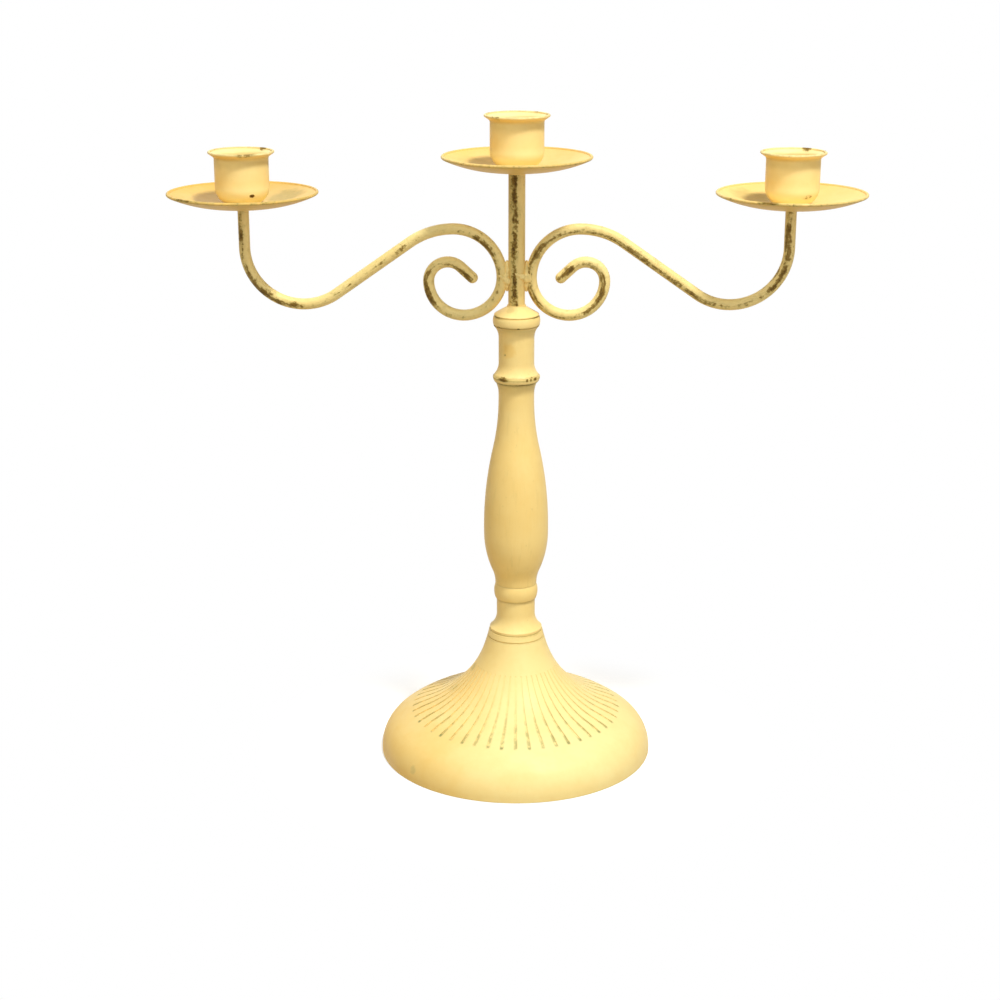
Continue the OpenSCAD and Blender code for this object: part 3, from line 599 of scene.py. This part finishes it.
# Place, radii and tilt of each lump. The beads are mirror images, the smears not.
BEAD = [((4.5, 0, 237.3), (1.6, 2.4, 7.3)), ((5.0, -1.3, 236.2), (1.6, 1.4, 3.4)),
        ((5.0, 1.4, 236.4), (1.5, 1.4, 3.0))]
SMEARS = {"left": [((-6.4, -2.3, 236.8), (2.2, 0.9, 1.0), 40), ((-4.5, -2.5, 235.2), (1.8, 1.1, 1.7), 30)],
          "right": [((0.5, -3.6, 238.4), (1.5, 0.6, 0.8), 30), ((2.5, -2.95, 237.4), (1.9, 1.0, 1.6), 30),
                    ((4.8, -2.1, 236.6), (2.4, 1.4, 2.3), 25)]}
for side, sign in (("left", -1), ("right", 1)):
    bpy.ops.object.select_all(action="DESELECT")
    lumps = [lump((sign * x, y, z), radii) for (x, y, z), radii in BEAD]
    lumps += [lump(*smear) for smear in SMEARS[side]]
    for one in lumps:
        one.select_set(True)
    bpy.context.view_layer.objects.active = lumps[0]
    bpy.ops.object.join()
    bead = bpy.context.object
    bead.name = f"weld_bead_{side}"
    bpy.ops.object.transform_apply(location=True, rotation=True, scale=True)
    bead.data.remesh_voxel_size = FINEST / MM_IN_M
    bpy.ops.object.voxel_remesh()
    knobs = bpy.data.textures.new(bead.name + "_knobs", "CLOUDS")
    knobs.noise_scale = KNOB_WIDTH / MM_IN_M
    knobbly = bead.modifiers.new("knobbly", "DISPLACE")
    knobbly.texture = knobs
    knobbly.texture_coords = "LOCAL"
    knobbly.strength = KNOB_HEIGHT / MM_IN_M
    knobbly.mid_level = 0.5
    bpy.ops.object.modifier_apply(modifier="knobbly")
    soften = bead.modifiers.new("soften", "SMOOTH")
    soften.iterations = 5
    bpy.ops.object.modifier_apply(modifier="soften")
    bpy.ops.object.shade_smooth()
    finish, place = new_finish(f"weld_{side}_paint")
    wax_and_painted_shade = grain(place, 2.5, 3).rise(0.45, 0.7) * 0.4
    paint = cream_paint(finish, place, wax_and_painted_shade, chips(place, 1.1), 0.20, FINELY_DABBED, 0.3)
    bead.data.materials.append(paint)
    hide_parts(f"weld_{side}")
    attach(bead, "head")

# Pan welds: small fillets that hold the three pans on their rods, seen only from
# below and painted over.
finish, place = new_finish("pan_welds_paint")
wax_and_painted_shade = grain(place, 2.5, 3).rise(0.45, 0.7) * 0.4
dress("pan_welds", cream_paint(finish, place, wax_and_painted_shade, chips(place, 1.1, 0.84), 0.42, FINELY_DABBED))

# Drip pans: dishes pressed from thin sheet. A thin worn line runs round their
# edges, and each has a scuff of its own. Beside each cup its shadow is painted on
# the pan, the undersides are painted darker and more golden as painted shade, and
# the upper faces are darker and more olive, most in the left one.

# X and Z of the middle of each pan's underside. Scuffs and painted cup shadows lie
# at X, Y and height over it, and a shadow's X and Y are taken from the middle.
PANS = {"left": (-126.0, 269.506), "centre": (0.0, 286.106), "right": (126.0, 269.506)}
PAN_EDGE = (33.9, 34.6)
PAN_MIDDLE = (19, 12)
PAN_FLOOR = 2.5
SCUFFS = {"left": (-149, -26, 6), "centre": (-20, -3, 3), "right": (112, -31, 6)}
UPWARD_DARKENING = {"left": 0.50, "centre": 0.20, "right": 0.04}
CUP_SHADOWS = {"left": (18, 13, 11, 0.60), "centre": (-19, 9, 12, 0.25), "right": (-17, 14, 12, 0.60)}
for name, (pan_x, pan_z) in PANS.items():
    finish, place = new_finish(f"pan_{name}_paint")
    x, y = measure(place, "X") - pan_x, measure(place, "Y")
    out = (x * x + y * y).math("SQRT")
    edge = out.rise(*PAN_EDGE)
    scuff_x, scuff_y, scuff_z = SCUFFS[name]
    scuff = smudge(place, (scuff_x, scuff_y, pan_z + scuff_z), 6) * towards(place, UP).rise(-0.5, 0)
    # A painted shadow of the cup on the pan beside it.
    shadow_x, shadow_y, reach, weight = CUP_SHADOWS[name]
    stain_and_painted_shadow = smudge(place, (pan_x + shadow_x, shadow_y, pan_z + PAN_FLOOR), reach) * weight
    # The upper faces are darker and more olive, most in the left pan.
    upward_darkening = towards(place, UP).rise(0.2, 0.8) * UPWARD_DARKENING[name] * 0.7
    # Painted shade: the underside is darker and more golden.
    underside_painted_shade = towards(place, DOWN).rise(0.2, 0.8) * 0.60
    worn = edge * 0.12 + scuff * 0.22 + uneven(place, 2.2, 0.8, 4) - 0.30
    wax_and_painted_shade = edge * grain(place, 5, 2).rise(0.30, 0.55) * 0.4 + scuff * 0.5 + out.rise(*PAN_MIDDLE) * 0.12
    wax_and_painted_shade = wax_and_painted_shade + underside_painted_shade * 0.42 + upward_darkening + stain_and_painted_shadow
    honey_and_painted_shade = underside_painted_shade + 0.30 + UPWARD_DARKENING[name] * 0.8
    dress(f"pan_{name}", cream_paint(finish, place, wax_and_painted_shade, worn, honey_and_painted_shade, DABBED, -0.45))

# Candle cups: drawn from thin sheet with a flared lip, each held by one screw
# through its floor. Lips and walls have small chips, a band of painted shadow from
# the lip runs under it, and at the foot the paint is made palest, as painted light
# that offsets the pan's warm bounce.

# Heights are taken from the pan's underside. A mark is X, Y, Z, reach, how flat it
# is, and weight.
CUP_LIP = (24.4, 25.2)
CUP_LOW = (13, 3)
LIP_SHADOW_FADE_IN = (16.5, 20.5)
LIP_SHADOW_FADE_OUT = (24, 22.5)
CUP_PALEST = (0.970, 0.880, 0.480)
MARKS = {"left": [(-119.8, -10.9, 275.6, 2.0, 1.7, 0.60), (-116.5, 11.5, 294.4, 3.4, 1.5, 0.26),
                  (-122, -14.4, 294.6, 6.0, 3.0, 0.22)],
         "centre": [(-9.5, -11.5, 310.6, 3.5, 1.5, 0.14), (9.5, 11.5, 311.0, 2.6, 1.5, 0.16)],
         "right": [(134, 12, 294.6, 3.8, 1.5, 0.27), (132.4, -11.0, 275.4, 3.6, 1.8, 0.19)]}
for name, (pan_x, pan_z) in PANS.items():
    finish, place = new_finish(f"cup_{name}_paint")
    height = measure(place, "Z") - pan_z
    lip = height.rise(*CUP_LIP)
    low = height.rise(*CUP_LOW)
    # A band of painted shadow under the lip.
    lip_shadow_band = height.rise(*LIP_SHADOW_FADE_IN) * height.rise(*LIP_SHADOW_FADE_OUT)
    mark = sum(smudge(place, spot, reach, flat) * weight for *spot, reach, flat, weight in MARKS[name])
    worn = lip * 0.10 + mark + uneven(place, 1.8, 0.8, 4) - 0.32
    wax_and_painted_shade = lip * grain(place, 5, 2).rise(0.35, 0.6) * 0.45 + lip_shadow_band * 0.34 + mark
    # Towards the foot the paint is made paler and less golden, as painted light that offsets the pan's warm
    # bounce and the painted shade on down-facing faces.
    dress(f"cup_{name}", cream_paint(finish, place, wax_and_painted_shade, worn, 0.14 - low * 0.3, DABBED, low * 0.85 + 0.10,
                                     CUP_PALEST))

low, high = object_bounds()
